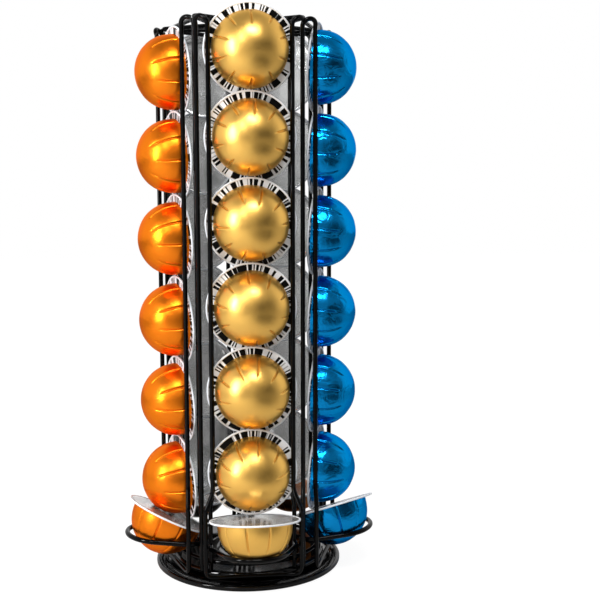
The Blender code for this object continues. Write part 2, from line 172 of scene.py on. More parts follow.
# The lid's foil: its colour, and how wide and how high its creases are
LID_COLOR = (0.93, 0.935, 0.93)
CREASE_WIDTH, CREASE_SHARE = 0.12, 0.35

# The flange's print: bars round it, and the shares of them that are inked or grey
PRINT_BARS, PRINT_BLOCKS = 190.0, 61.0
INKED_SHARE, BLOCK_SHARE, GREY_FROM_SHARE = 0.47, 0.10, 0.90
PAPER, PALE_INK = (0.8, 0.8, 0.8), (0.80, 0.83, 0.87, 1)
GREY_INK, BLACK_INK = (0.40, 0.42, 0.44, 1), (0.001, 0.001, 0.001, 1)

# Where a groove ends and how far it fades, as shares of a capsule's height
GROOVE_END_SHARES, GROOVE_FADE_SHARE = (0.66, 0.84), 0.04

# Where dome and lid begin, as shares of the flange's thickness and of its radius, and how
# much a dent's noise is raised
DOME_FROM_SHARES, LID_FROM_SHARES, LID_EDGE_SHARES = (1.3, 2.4), (0.42, 0.3), (0.93, 0.82)
DENT_SWING = 4.0

# Most of a noise texture lies in this span, and a foil's roughness wanders by these shares
NOISE_SPAN = (0.3, 0.7)
ROUGH_SHARES = (0.92, 1.1)

# Dust makes paint paler: a share of its colour and a little more, where the clouds are
DUST_SHARE, DUST_LIFT, DUST_SPAN = 1.6, 0.0003, (0.45, 0.75)

# Hidden small pieces: material, colour, metallic, lowest and highest roughness, and how
# fine its clouds are
HIDDEN_FINISHES = {
    "pivot_rivet": ("turned_steel", (0.55, 0.55, 0.56), 1, 0.22, 0.40, 300.0),
    "thrust_ring": ("pale_plastic", (0.72, 0.72, 0.70), 0, 0.40, 0.60, 200.0),
    "foot_pad": ("pad_rubber", (0.02, 0.02, 0.02), 0, 0.70, 0.90, 400.0),
}

# Zones of a capsule's surface, and the seeds of what is drawn by lot
FOIL, PRINT, BEAD, LID = range(4)
CAPSULE_SEED, WELD_SEED = 7, 3
NOISE_SEEDS = (1, 90)

# Welds: how much their size varies, and where they touch a back rail beside its middle
WELD_SHARES, WELD_SIDE_SHARE = (0.85, 1.2), 0.4

# Camera, and lamps: heading, elevation, distance, width and height
CAMERA_PLACE = (-0.04687, -0.74120, 0.27731)
CAMERA_ANGLES = (83.370, 0.102, -6.583)
SENSOR_WIDTH = 36
LAMPS = {"left_softbox": (-58, 14, 0.85, 0.13, 0.46), "high_softbox": (6, 55, 1.0, 0.40, 0.17),
         "corner_softbox": (-30, 36, 0.95, 0.20, 0.30)}
LAMP_TARGET = Vector((0, -0.05, 0.22))

# Floor: its half width, its pale and dark levels, where the dark spot lies, and its own glow
FLOOR_HALF = 3.0
FLOOR_PALE, FLOOR_DARK = 0.68, 0.04
SPOT_PLACE, SPOT_NEAR, SPOT_FAR = (0.36, -0.52, 0.0), 0.20, 0.50
GLOW, GLOW_SHARE = 1.22, 0.74

# Surroundings, each from one place to another and from one level to another: paler towards
# the back, a dark room to the right in front, and a dimmer ceiling
BACK_SPAN = (-0.35, 0.15, 0.40, 1.0)
ROOM_TOWARDS, ROOM_SPAN = (0.61, -0.78, -0.12), (0.72, 0.95, 1.0, 0.12)
CEILING_SPAN = (0.55, 0.95, 1.0, 0.4)


def length(name, description, default):
    """A length that can be set."""
    return FloatProperty(name=name, description=description, default=default, unit="LENGTH")


def tint(name, description, default):
    """A colour that can be set."""
    return FloatVectorProperty(name=name, description=description, default=default,
                               subtype="COLOR")


class CapsuleSettings(bpy.types.PropertyGroup):
    """Shape and colours of the capsules."""

    grooves: IntProperty(
        name="Grooves", description="Pressed grooves round a dome", default=10, min=0)
    groove_depth: length("Groove depth", "How deep a groove is pressed", 0.0009)
    groove_half: length("Groove half width", "From a groove's middle to its edge", 0.0009)
    dent_depth: length("Dent depth", "How far the foil wanders from a true dome", 0.00007)
    crinkle_depth: length("Crinkle depth", "Height of the creases in a lid", 0.00012)
    bead_radius: length("Bead radius", "Radius of the flange's curled edge", 0.00068)
    gold: tint("Gold", "Foil of the front column", (0.84, 0.485, 0.095))
    blue: tint("Blue", "Foil of the right column", (0.004, 0.25, 0.62))
    copper: tint("Copper", "Foil of the rear right column", (0.40, 0.14, 0.03))
    silver: tint("Silver", "Foil of the rear left column", (0.62, 0.61, 0.59))
    orange: tint("Orange", "Foil of the left column", (0.90, 0.215, 0.006))


class WireSettings(bpy.types.PropertyGroup):
    """Thickness and paint of the wires."""

    guard_radius: length("Guard wire radius", "Radius of the guard wires", WIRE_R)
    back_radius: length("Back rail radius", "Radius of the back rails", BACK_WIRE_R)
    cradle_radius: length("Cradle radius", "Radius of the cradles", CRADLE_WIRE_R)
    tie_radius: length("Tie radius", "Radius of the star and the ring", TIE_WIRE_R)
    weld_radius: length("Weld radius", "Size of a weld under the paint", 0.0012)
    paint: tint("Paint", "Colour of wires, disc and dish", (0.0004, 0.0004, 0.0005))


class StageSettings(bpy.types.PropertyGroup):
    """Camera and light."""

    lens: FloatProperty(
        name="Lens", description="Focal length on a 36 mm sensor", default=62.42, unit="CAMERA")
    key_power: FloatProperty(
        name="Key power", description="Watts of the left softbox", default=5.5, min=0)
    top_power: FloatProperty(
        name="Top power", description="Watts of the high softbox", default=4.9, min=0)
    corner_power: FloatProperty(
        name="Corner power", description="Watts of the softbox between them", default=1.6, min=0)
    keep_floor: BoolProperty(
        name="Floor", description="Put the rack on a pale floor", default=True)


class RackSettings(bpy.types.PropertyGroup):
    """All settings of the rack."""

    capsule: PointerProperty(type=CapsuleSettings)
    wire: PointerProperty(type=WireSettings)
    stage: PointerProperty(type=StageSettings)


# Places in the rack

def column_turn(column):
    """Rotation that faces a column."""
    return Matrix.Rotation(column * COLUMN_STEP, 4, "Z")


def in_column(column, path):
    """Points (lateral, out, height) of a column, in the row frame."""
    turn = column_turn(column)
    return [turn @ Vector((point.x, -point.y, point.z)) for point in path]


def leg_half(plane, wire_r, least):
    """Half the spread of two legs that pass beside the lying capsule's flange."""
    reach = min(abs(radius - plane) / math.cos(tilt)
                for radius, tilt in zip(SEAT_RADII, SEAT_TILTS))
    room = FLANGE_R + wire_r + LEG_CLEAR
    return max(least, math.sqrt(max(0, room ** 2 - reach ** 2)))


FOOT_HALF = leg_half(FOOT_PLANE, WIRE_R, GUARD_HALF)
BACK_FOOT_HALF = leg_half(BACK_PLANE, BACK_WIRE_R, BACK_HALF)
CRADLE_HALF = FOOT_HALF - WIRE_R - CRADLE_WIRE_R - CLEAR
CRADLE_END = BACK_PLANE + BACK_WIRE_R + CLEAR
DISH_R = math.hypot(FOOT_HALF, FOOT_PLANE) + DISH_OVERHANG


def capsule_turn(column, number):
    """How a capsule is turned in its column: its own frame has the dome up."""
    if number > STANDING:
        return (Matrix.Rotation(SEAT_ROLLS[column], 4, "Y")
                @ Matrix.Rotation(math.pi - SEAT_TILTS[column], 4, "X"))
    return Matrix.Rotation(math.pi / 2 + LEAN, 4, "X")


def lid_height(column, number):
    """Height of a capsule's lid centre, from its place in the frame."""
    low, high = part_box(f"{COLUMN_NAMES[column]}_capsule_{number}")
    if number <= STANDING:
        return low.z + FLANGE_R * math.cos(LEAN) + FLANGE_T * math.sin(LEAN)
    turn = capsule_turn(column, number)
    rim = [2 * math.pi * side / CAD_SIDES for side in range(CAD_SIDES)]
    return high.z - max((turn @ Vector((FLANGE_R * math.cos(angle), FLANGE_R * math.sin(angle),
                                        0))).z for angle in rim)


LID_Z = [lid_height(column, STANDING + 1) for column in range(len(COLUMN_NAMES))]
TOP_Z = lid_height(0, 1) + RAIL_OVER_TOP_CAPSULE


def lid_height_beside(column):
    """Height of a lying lid's plane at the higher of the two front legs."""
    normal = capsule_turn(column, STANDING + 1) @ Vector((0, 0, -1))
    inward = SEAT_RADII[column] - FOOT_PLANE
    return LID_Z[column] + (abs(normal.x) * FOOT_HALF - normal.y * inward) / normal.z


FLARE_LOW_Z = FLARE_CLEAR + max(lid_height_beside(column)
                                for column in range(len(COLUMN_NAMES)))
FLARE_HIGH_Z = FLARE_LOW_Z + FLARE_RISE


def capsule_place(column, number):
    """Where a capsule stands: its own frame has the lid at zero and the dome up."""
    out = SEAT_RADII[column] if number > STANDING else LID_PLANE
    place = Matrix.Translation((0, -out, lid_height(column, number)))
    return column_turn(column) @ place @ capsule_turn(column, number)


# Paths of the wires

def bend(before, corner, after, radius, steps):
    """Points of a round bend at a corner."""
    into = (corner - before).normalized()
    onward = (after - corner).normalized()
    turn = into.angle(onward)
    centre = corner + (onward - into).normalized() * radius / math.cos(turn / 2)
    first = corner - into * radius * math.tan(turn / 2) - centre
    side = into * radius
    return [centre + first * math.cos(turn * step / steps) + side * math.sin(turn * step / steps)
            for step in range(steps + 1)]


def rounded(corners, radii, steps):
    """An open path with a round bend at every inner corner."""
    path = [corners[0]]
    for index in range(1, len(corners) - 1):
        path += bend(*corners[index - 1:index + 2], radii[index], steps[index])
    return path + [corners[-1]]


def mirrored(path):
    """The other side of a column's wire, run back from its end."""
    return [Vector((-point.x, point.y, point.z)) for point in reversed(path)]


def gap_point(side, height, radius=GAP_POST_R):
    """A point between two columns, in this column's frame."""
    return Vector((side * radius * math.sin(HALF_STEP), radius * math.cos(HALF_STEP), height))


def hairpin(start, end):
    """Arch between the tops of two legs, bowed out so that a flange can pass."""
    outward = Vector((start.y - end.y, end.x - start.x, 0)).normalized()
    path = []
    for step in range(HAIRPIN_STEPS + 1):
        angle = math.pi * step / HAIRPIN_STEPS
        point = start.lerp(end, (1 - math.cos(angle)) / 2)
        point += outward * HAIRPIN_BOW * math.sin(angle)
        point.z += HAIRPIN_RISE * (math.sin(angle) - 1)
        path.append(point)
    return path


def guard_path():
    """Post, hairpin, front leg, foot bar, front leg and open hairpin."""
    arch = hairpin(gap_point(-1, TOP_Z), Vector((-GUARD_HALF, GUARD_PLANE, TOP_Z)))
    foot = [gap_point(-1, FOOT_Z, DISC_R + CLEAR), gap_point(-1, FOOT_Z), arch[0]]
    half = [arch[-1],
            Vector((-GUARD_HALF, GUARD_PLANE, FLARE_HIGH_Z)),
            Vector((-FOOT_HALF, FOOT_PLANE, FLARE_LOW_Z)),
            Vector((-FOOT_HALF, FOOT_PLANE, FOOT_Z))]
    radii = [0, FLARE_BEND, FLARE_BEND, FOOT_BEND]
    steps = [0, FLARE_STEPS, FLARE_STEPS, BEND_STEPS]
    legs = rounded(half + mirrored(half), radii + radii[::-1], steps + steps[::-1])
    return (rounded(foot, [0, POST_FOOT_BEND, 0], [0, BEND_STEPS, 0])[:-1] + arch
            + legs[1:-1] + mirrored(arch[HAIRPIN_OPEN_STEPS:]))


def back_path():
    """Inverted U behind the lids, its legs spread beside the lying capsule."""
    half = [Vector((BACK_FOOT_HALF, BACK_PLANE, DISC_TOP_Z)),
            Vector((BACK_FOOT_HALF, BACK_PLANE, FLARE_LOW_Z)),
            Vector((BACK_HALF, BACK_PLANE, FLARE_HIGH_Z)),
            Vector((BACK_HALF, BACK_PLANE, TOP_Z))]
    radii = [0, FLARE_BEND, FLARE_BEND, BACK_BEND]
    steps = [0, FLARE_STEPS, FLARE_STEPS, BEND_STEPS]
    return rounded(half + mirrored(half), radii + radii[::-1], steps + steps[::-1])


def cradle_path():
    """U loop that a lying capsule's dome rests in."""
    reach = CRADLE_CENTRE - FOOT_PLANE
    start = (math.atan2(CRADLE_HALF, -reach)
             - math.acos(CRADLE_ARC_R / math.hypot(reach, CRADLE_HALF)))
    flat = [(-CRADLE_HALF, CRADLE_END), (-CRADLE_HALF, FOOT_PLANE)]
    for step in range(CRADLE_ARC_STEPS + 1):
        angle = start - 2 * start * step / CRADLE_ARC_STEPS
        flat.append((-CRADLE_ARC_R * math.sin(angle),
                     CRADLE_CENTRE + CRADLE_ARC_R * math.cos(angle)))
    flat += [(CRADLE_HALF, FOOT_PLANE), (CRADLE_HALF, CRADLE_END)]
    return [Vector((lateral, out, CRADLE_LEG_Z + (out - FOOT_PLANE) * math.tan(CRADLE_SLOPE)))
            for lateral, out in flat]


def star_path():
    """Closed star whose tips lie in the notches between the hairpins."""
    tip_half_angle = math.atan2(GAP_POST_R * math.sin(HALF_STEP),
                                GAP_POST_R * math.cos(HALF_STEP) - STAR_INNER_R) - HALF_STEP
    tip = GAP_POST_R + STAR_TIP_OUT + STAR_TIP_BEND * (1 / math.sin(tip_half_angle) - 1)
    corners, radii = [], []
    for column in range(len(COLUMN_NAMES)):
        for angle, radius, curve in ((column * COLUMN_STEP, STAR_INNER_R, STAR_INNER_BEND),
                                     (column * COLUMN_STEP + HALF_STEP, tip, STAR_TIP_BEND)):
            corners.append(Vector((radius * math.sin(angle), radius * math.cos(angle),
                                   TOP_Z + STAR_RISE)))
            radii.append(curve)
    path = []
    count = len(corners)
    for index in range(count):
        path += bend(corners[index - 1], corners[index], corners[(index + 1) % count],
                     radii[index], BEND_STEPS)
    return path


def ring_path():
    """Circle of the lower tie ring."""
    low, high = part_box("lower_tie_ring")
    radius = high.x - TIE_WIRE_R
    height = (low.z + high.z) / 2
    return [Vector((radius * math.cos(angle), radius * math.sin(angle), height))
            for angle in (2 * math.pi * step / DISC_SIDES for step in range(DISC_SIDES))]


# Node trees

class Tree:
    """A node tree being built: nodes are added with their inputs already set or linked."""

    def __init__(self, tree):
        self.tree = tree

    def add(self, kind, *inputs, out=0, **settings):
        """Add a node, set its properties, fill its first inputs and give back an output."""
        node = self.tree.nodes.new(kind)
        named = settings.pop("named", {})
        for name, value in settings.items():
            setattr(node, name, value)
        for index, value in list(enumerate(inputs)) + list(named.items()):
            if value is not None:
                self.fill(node.inputs[index], value)
        return node.outputs[out] if node.outputs else node

    def fill(self, socket, value):
        """Link an output to a socket, or set the socket's value."""
        if isinstance(value, bpy.types.NodeSocket):
            self.tree.links.new(value, socket)
        else:
            socket.default_value = value

    def math(self, operation, *values):
        """A math node."""
        return self.add("ShaderNodeMath", *values, operation=operation)

    def mix(self, share, first, second):
        """A mix of two colours."""
        return self.add("ShaderNodeMix", data_type="RGBA", out=2,
                        named={0: share, 6: first, 7: second})

    def ramp(self, value, low, high, start=0.0, end=1.0, smooth=True):
        """Map a value from one range to another."""
        return self.add("ShaderNodeMapRange", value, low, high, start, end,
                        interpolation_type="SMOOTHSTEP" if smooth else "LINEAR")


SOCKETS = {"geometry": "NodeSocketGeometry", "float": "NodeSocketFloat",
           "int": "NodeSocketInt", "material": "NodeSocketMaterial"}
WIRE_TREE = "Wire along a path"


def geometry_tree(name, inputs):
    """A Geometry Nodes tree with its named inputs: (node group, tree, group input node)."""
    group = bpy.data.node_groups.new(name, "GeometryNodeTree")
    group.interface.new_socket("Geometry", in_out="INPUT", socket_type=SOCKETS["geometry"])
    for label, kind in inputs:
        group.interface.new_socket(label, in_out="INPUT", socket_type=SOCKETS[kind])
    group.interface.new_socket("Geometry", in_out="OUTPUT", socket_type=SOCKETS["geometry"])
    entry = group.nodes.new("NodeGroupInput")
    return group, Tree(group), entry


def wire_tree():
    """Round wire along a path of edges."""
    group, tree, entry = geometry_tree(
        WIRE_TREE, [("Radius", "float"), ("Sides", "int"), ("Paint", "material")])
    curve = tree.add("GeometryNodeMeshToCurve", entry.outputs["Geometry"])
    section = tree.add("GeometryNodeCurvePrimitiveCircle", entry.outputs["Sides"],
                       named={"Radius": entry.outputs["Radius"]})
    tube = tree.add("GeometryNodeCurveToMesh", curve, section, named={"Fill Caps": True})
    smooth = tree.add("GeometryNodeSetShadeSmooth", tube)
    whole = tree.add("GeometryNodeRealizeInstances", smooth)
    painted = tree.add("GeometryNodeSetMaterial", whole,
                       named={"Material": entry.outputs["Paint"]})
    tree.add("NodeGroupOutput", painted)
    return group


def weld_tree():
    """Small lumps of weld on a cloud of points."""
    group, tree, entry = geometry_tree(
        "Welds", [("Radius", "float"), ("Seed", "int"), ("Paint", "material")])
    points = tree.add("GeometryNodeMeshToPoints", entry.outputs["Geometry"])
    lump = tree.add("GeometryNodeMeshIcoSphere", entry.outputs["Radius"], 2)
    size = tree.add("FunctionNodeRandomValue", data_type="FLOAT", out=1,
                    named={2: WELD_SHARES[0], 3: WELD_SHARES[1],
                           "Seed": entry.outputs["Seed"]})
    lumps = tree.add("GeometryNodeInstanceOnPoints", points, named={"Instance": lump,
                                                                     "Scale": size})
    whole = tree.add("GeometryNodeRealizeInstances", lumps)
    smooth = tree.add("GeometryNodeSetShadeSmooth", whole)
    painted = tree.add("GeometryNodeSetMaterial", smooth,
                       named={"Material": entry.outputs["Paint"]})
    tree.add("NodeGroupOutput", painted)
    return group


def capsule_tree():
    """Pressed grooves and dents in a dome, and creases in its lid."""
    group, tree, entry = geometry_tree(
        "Pressed capsule",
        [("Grooves", "int"), ("Groove depth", "float"), ("Groove half width", "float"),
         ("Dent depth", "float"), ("Crinkle depth", "float"), ("Seed", "float"),
         ("Foil", "material"), ("Print", "material"), ("Bead", "material"),
         ("Lid", "material")])
    place = tree.add("GeometryNodeInputPosition")
    split = tree.add("ShaderNodeSeparateXYZ", place).node
    x, y, z = split.outputs
    radius = tree.math("SQRT", tree.math("ADD", tree.math("MULTIPLY", x, x),
                                         tree.math("MULTIPLY", y, y)))
    angle = tree.math("ARCTAN2", y, x)
    count = entry.outputs["Grooves"]
    sector = tree.math("MULTIPLY", tree.math("DIVIDE", angle, 2 * math.pi), count)
    nearest = tree.math("ROUND", sector)
    step = tree.math("DIVIDE", 2 * math.pi, count)
    across = tree.math("ABSOLUTE", tree.math(
        "MULTIPLY", tree.math("MULTIPLY", tree.math("SUBTRACT", sector, nearest), step), radius))
    pressed = tree.ramp(across, entry.outputs["Groove half width"], 0.0)
    wrapped = tree.math("FLOORED_MODULO", nearest, count)
    chance = tree.add("ShaderNodeTexWhiteNoise",
                      tree.add("ShaderNodeCombineXYZ", wrapped, entry.outputs["Seed"], 0.0),
                      noise_dimensions="3D")
    end = tree.ramp(chance, 0.0, 1.0, *(CAPSULE_H * share for share in GROOVE_END_SHARES),
                    smooth=False)
    fading = tree.math("SUBTRACT", end, CAPSULE_H * GROOVE_FADE_SHARE)
    along = tree.ramp(z, end, fading)
    dome = tree.ramp(z, *(FLANGE_T * share for share in DOME_FROM_SHARES))
    groove = tree.math("MULTIPLY", tree.math("MULTIPLY", pressed, along),
                       tree.math("MULTIPLY", dome, entry.outputs["Groove depth"]))
    shift = tree.add("ShaderNodeCombineXYZ", entry.outputs["Seed"], 0.0, 0.0)
    where = tree.add("ShaderNodeVectorMath", place, shift, operation="ADD")
    wander = tree.add("ShaderNodeTexNoise", where,
                      named={"Scale": 75.0, "Detail": 1.5, "Distortion": 0.6})
    dent = tree.math("MULTIPLY", tree.math("MULTIPLY", tree.math("SUBTRACT", wander, 0.5), dome),
                     tree.math("MULTIPLY", entry.outputs["Dent depth"], DENT_SWING))
    inward = tree.math("MULTIPLY", tree.math("ADD", groove, dent), -1.0)
    normal = tree.add("GeometryNodeInputNormal")
    moved = tree.add("ShaderNodeVectorMath", normal, operation="SCALE", named={"Scale": inward})
    folds = tree.add("ShaderNodeTexVoronoi", where, feature="SMOOTH_F1",
                     named={"Scale": 110.0, "Smoothness": 0.35, "Detail": 1.0})
    lid = tree.math("MULTIPLY", tree.ramp(z, *(FLANGE_T * share for share in LID_FROM_SHARES)),
                    tree.ramp(radius, *(FLANGE_R * share for share in LID_EDGE_SHARES)))
    rise = tree.math("MULTIPLY", tree.math("MULTIPLY", folds, lid),
                     entry.outputs["Crinkle depth"])
    lifted = tree.add("ShaderNodeCombineXYZ", 0.0, 0.0, rise)
    offset = tree.add("ShaderNodeVectorMath", moved, lifted, operation="ADD")
    shaped = tree.add("GeometryNodeSetPosition", entry.outputs["Geometry"],
                      named={"Offset": offset})
    result = tree.add("GeometryNodeRealizeInstances", shaped)
    zone = tree.add("GeometryNodeInputNamedAttribute", "zone", data_type="INT")
    result = tree.add("GeometryNodeSetMaterial", result,
                      named={"Material": entry.outputs["Foil"]})
    for number, label in ((PRINT, "Print"), (BEAD, "Bead"), (LID, "Lid")):
        here = tree.add("FunctionNodeCompare", data_type="INT", operation="EQUAL",
                        named={2: zone, 3: number})
        result = tree.add("GeometryNodeSetMaterial", result, here,
                          named={"Material": entry.outputs[label]})
    tree.add("NodeGroupOutput", result)
    return group


def grown(name, mesh, group, values):
    """Run a node tree on a mesh and give back a plain object with the result."""
    seed = bpy.data.objects.new(name, mesh)
    bpy.context.scene.collection.objects.link(seed)
    modifier = seed.modifiers.new("shape", "NODES")
    modifier.node_group = group
    for socket in group.interface.items_tree:
        if socket.name in values:
            modifier[socket.identifier] = values[socket.name]
    graph = bpy.context.evaluated_depsgraph_get()
    result = bpy.data.meshes.new_from_object(seed.evaluated_get(graph))
    result.name = name
    for index in reversed(range(len(result.materials))):
        if result.materials[index] is None:
            result.materials.pop(index=index)
    seed.modifiers.clear()
    bpy.data.objects.remove(seed, do_unlink=True)
    item = bpy.data.objects.new(name, result)
    bpy.context.scene.collection.objects.link(item)
    return item


def path_mesh(name, path, closed=False):
    """A mesh of edges along a path."""
    mesh = bpy.data.meshes.new(name)
    edges = [(index, index + 1) for index in range(len(path) - 1)]
    if closed:
        edges.append((len(path) - 1, 0))
    mesh.from_pydata(path, edges, [])
    return mesh


# Materials

def new_material(name, color, metallic, roughness, coat=0.0):
    """A Principled material: (material, tree, shader)."""
    shade = bpy.data.materials.new(name)
    shade.use_nodes = True
    shader = shade.node_tree.nodes["Principled BSDF"]
    shader.inputs["Base Color"].default_value = (*color, 1)
    shader.inputs["Metallic"].default_value = metallic
    shader.inputs["Roughness"].default_value = roughness
    shader.inputs["Coat Weight"].default_value = coat
    return shade, Tree(shade.node_tree), shader


def object_place(tree):
    """Object coordinates."""
    return tree.add("ShaderNodeTexCoord", out=3)


def foil_material(name, color):
    """Lacquered aluminium foil: softly crumpled, with a fine grain."""
    rough = FOILS[name].roughness
    shade, tree, shader = new_material(f"{name}_foil", color, 1, rough, FOILS[name].coat)
    shader.inputs["Coat Roughness"].default_value = rough
    shader.inputs["Specular Tint"].default_value = (*(math.sqrt(part) for part in color), 1)
    place = object_place(tree)
    blotch = tree.add("ShaderNodeTexNoise", place, named={"Scale": 120.0, "Detail": 2.0})
    tree.fill(shader.inputs["Roughness"],
              tree.ramp(blotch, *NOISE_SPAN, *(rough * share for share in ROUGH_SHARES)))
    crumple = tree.add("ShaderNodeTexNoise", place,
                       named={"Scale": 85.0, "Detail": 2.0, "Distortion": 1.5})
    folds = tree.add("ShaderNodeBump", named={"Strength": FOILS[name].crumple,
                                              "Distance": 0.0012, "Height": crumple})
    grain = tree.add("ShaderNodeTexNoise", place, named={"Scale": 1500.0, "Detail": 2.0})
    bump = tree.add("ShaderNodeBump", named={"Strength": 0.04, "Distance": 0.0001,
                                             "Height": grain, "Normal": folds})
    tree.fill(shader.inputs["Normal"], bump)
    return shade


def print_material():
    """Flange print: radial bars of uneven width in black, grey and pale ink."""
    shade, tree, shader = new_material("flange_print", PAPER, metallic=0, roughness=0.38)
    shader.inputs["Specular IOR Level"].default_value = 0.1
    spot = tree.add("ShaderNodeUVMap", uv_map="polar")
    around = tree.add("ShaderNodeSeparateXYZ", spot)
    bars = tree.math("FLOOR", tree.math("MULTIPLY", around, PRINT_BARS))
    chance = tree.add("ShaderNodeTexWhiteNoise", noise_dimensions="1D", named={"W": bars})
    blocks = tree.math("FLOOR", tree.math("MULTIPLY", around, PRINT_BLOCKS))
    block = tree.add("ShaderNodeTexWhiteNoise", noise_dimensions="1D", named={"W": blocks})
    wide = tree.math("LESS_THAN", block, BLOCK_SHARE)
    ink = tree.math("MAXIMUM", tree.math("LESS_THAN", chance, INKED_SHARE), wide)
    grey = tree.math("GREATER_THAN", chance, GREY_FROM_SHARE)
    pale = tree.mix(grey, PALE_INK, GREY_INK)
    tree.fill(shader.inputs["Base Color"], tree.mix(ink, pale, BLACK_INK))
    return shade


def bead_material():
    """The flange's curled edge, as pale as its print."""
    shade, tree, shader = new_material("flange_bead", PALE_INK[:3], metallic=0, roughness=0.45)
    rough = tree.add("ShaderNodeTexNoise", object_place(tree), named={"Scale": 500.0,
                                                                     "Detail": 2.0})
    tree.fill(shader.inputs["Roughness"], tree.ramp(rough, *NOISE_SPAN, start=0.35, end=0.5))
    return shade


def lid_material():
    """Silver lid foil with fine creases."""
    shade, tree, shader = new_material("lid_foil", LID_COLOR, metallic=0.78, roughness=0.15)
    place = object_place(tree)
    creases = tree.add("ShaderNodeTexVoronoi", place, feature="DISTANCE_TO_EDGE",
                       named={"Scale": 260.0})
    lines = tree.ramp(creases, 0.0, CREASE_WIDTH)
    fine = tree.add("ShaderNodeTexNoise", place, named={"Scale": 700.0, "Detail": 4.0})
    height = tree.math("ADD", tree.math("MULTIPLY", lines, CREASE_SHARE), fine)
    bump = tree.add("ShaderNodeBump", named={"Strength": 0.05, "Distance": 0.0003,
                                             "Height": height})
    tree.fill(shader.inputs["Normal"], bump)
    tree.fill(shader.inputs["Roughness"], tree.ramp(fine, *NOISE_SPAN, start=0.12, end=0.2))
    return shade


def paint_material(name, paint):
    """Black stoved paint with a little orange peel."""
    color = bpy.context.scene.rack.wire.paint
    shade, tree, shader = new_material(name, color, 0, (paint.low + paint.high) / 2)
    shader.inputs["Specular IOR Level"].default_value = paint.shine
    place = object_place(tree)
    cloud = tree.add("ShaderNodeTexNoise", place, named={"Scale": paint.scale, "Detail": 3.0})
    tree.fill(shader.inputs["Roughness"], tree.ramp(cloud, *NOISE_SPAN, paint.low, paint.high))
    skin = tree.add("ShaderNodeTexNoise", place, named={"Scale": 900.0, "Detail": 2.0})
    bump = tree.add("ShaderNodeBump", named={"Strength": ORANGE_PEEL, "Distance": 0.0002,
                                             "Height": skin})
    tree.fill(shader.inputs["Normal"], bump)
    dusty = tuple(channel * DUST_SHARE + DUST_LIFT for channel in color)
    tree.fill(shader.inputs["Base Color"],
              tree.mix(tree.ramp(cloud, *DUST_SPAN), (*color, 1), (*dusty, 1)))
    return shade


def plain_material(name, color, metallic, low, high, scale):
    """A hidden small part's finish."""
    shade, tree, shader = new_material(name, color, metallic, (low + high) / 2)
    cloud = tree.add("ShaderNodeTexNoise", object_place(tree), named={"Scale": scale,
                                                                     "Detail": 3.0})
    tree.fill(shader.inputs["Roughness"], tree.ramp(cloud, *NOISE_SPAN, low, high))
    return shade


def wire_paint():
    """The one paint of all wires and welds, made the first time it is asked for."""
    return bpy.data.materials.get("wire_paint") or paint_material("wire_paint", WIRE_PAINT)


# Bodies of turned pieces

def turned_mesh(name, outline, angles, zones=None):
    """A closed skin turned from (radius, height) points, with a polar UV map."""
    shape = bmesh.new()
    uv = shape.loops.layers.uv.new("polar")
    zone = shape.faces.layers.int.new("zone")
    count = len(angles)
    rings = []
    for radius, height in outline:
        if radius:
            rings.append([shape.verts.new((radius * math.cos(angle), radius * math.sin(angle),
                                           height)) for angle in angles])
        else:
            rings.append([shape.verts.new((0, 0, height))] * count)
    shares = [angle / (2 * math.pi) for angle in angles] + [1 + angles[0] / (2 * math.pi)]
    for index in range(len(outline) - 1):
        upper, lower = rings[index], rings[index + 1]
        for side in range(count):
            onward = (side + 1) % count
            corners = [(upper[side], side, index), (lower[side], side, index + 1),
                       (lower[onward], side + 1, index + 1), (upper[onward], side + 1, index)]
            if not outline[index][0]:
                corners = corners[:3]
            elif not outline[index + 1][0]:
                corners = [corners[0], corners[1], corners[3]]
            face = shape.faces.new([corner[0] for corner in corners])
            face.smooth = True
            if zones:
                face[zone] = zones[index]
            for loop, corner in zip(face.loops, corners):
                loop[uv].uv = (shares[corner[1]], outline[corner[2]][0] / FLANGE_R)
    bmesh.ops.recalc_face_normals(shape, faces=shape.faces)
    mesh = bpy.data.meshes.new(name)
    shape.to_mesh(mesh)
    shape.free()
    return mesh


def capsule_outline(bead):
    """Outline of a capsule from the crown round to the lid's middle, with its zones."""
    floor = FLANGE_T * FLANGE_FLOOR_SHARE
    fillet = floor * FILLET_SHARE
    foot = floor + fillet
    points, zones = [], []
    for step in range(DOME_RINGS + 1):
        angle = math.pi / 2 * step / DOME_RINGS
        power = 2 / (ROUNDNESS + SQUARENESS * math.sin(angle) ** 2)
        radius = DOME_R * math.sin(angle) ** power
        rise = math.cos(angle) ** power if step < DOME_RINGS else 0.0
        points.append((radius, foot + (CAPSULE_H - foot) * rise))
        zones.append(FOIL)
    for step in range(1, FILLET_STEPS + 1):
        angle = math.pi / 2 * step / FILLET_STEPS
        points.append((DOME_R + fillet * (1 - math.cos(angle)),
                       floor + fillet * (1 - math.sin(angle))))
        zones.append(PRINT)
    points[0] = (0.0, CAPSULE_H)
    edge = FLANGE_R - bead
    for share in PRINT_CUT_SHARES:
        points.append((DOME_R + fillet + (edge - bead - DOME_R - fillet) * share, floor))
        zones.append(PRINT)
    for step in range(BEAD_STEPS + 1):
        angle = (math.pi - BEAD_OPENING
                 - (2 * math.pi - 2 * BEAD_OPENING) * step / BEAD_STEPS)
        points.append((edge + bead * math.cos(angle), FLANGE_T / 2 + bead * math.sin(angle)))
        zones.append(BEAD)
    zones[-1] = LID
    lid_r = points[-1][0]
    for step in range(1, LID_RINGS):
        points.append((lid_r * (1 - step / LID_RINGS), FLANGE_T * LID_DISH_SHARE))
        zones.append(LID)
    points.append((0.0, FLANGE_T * LID_DISH_SHARE))
    return points, zones[:len(points) - 1]


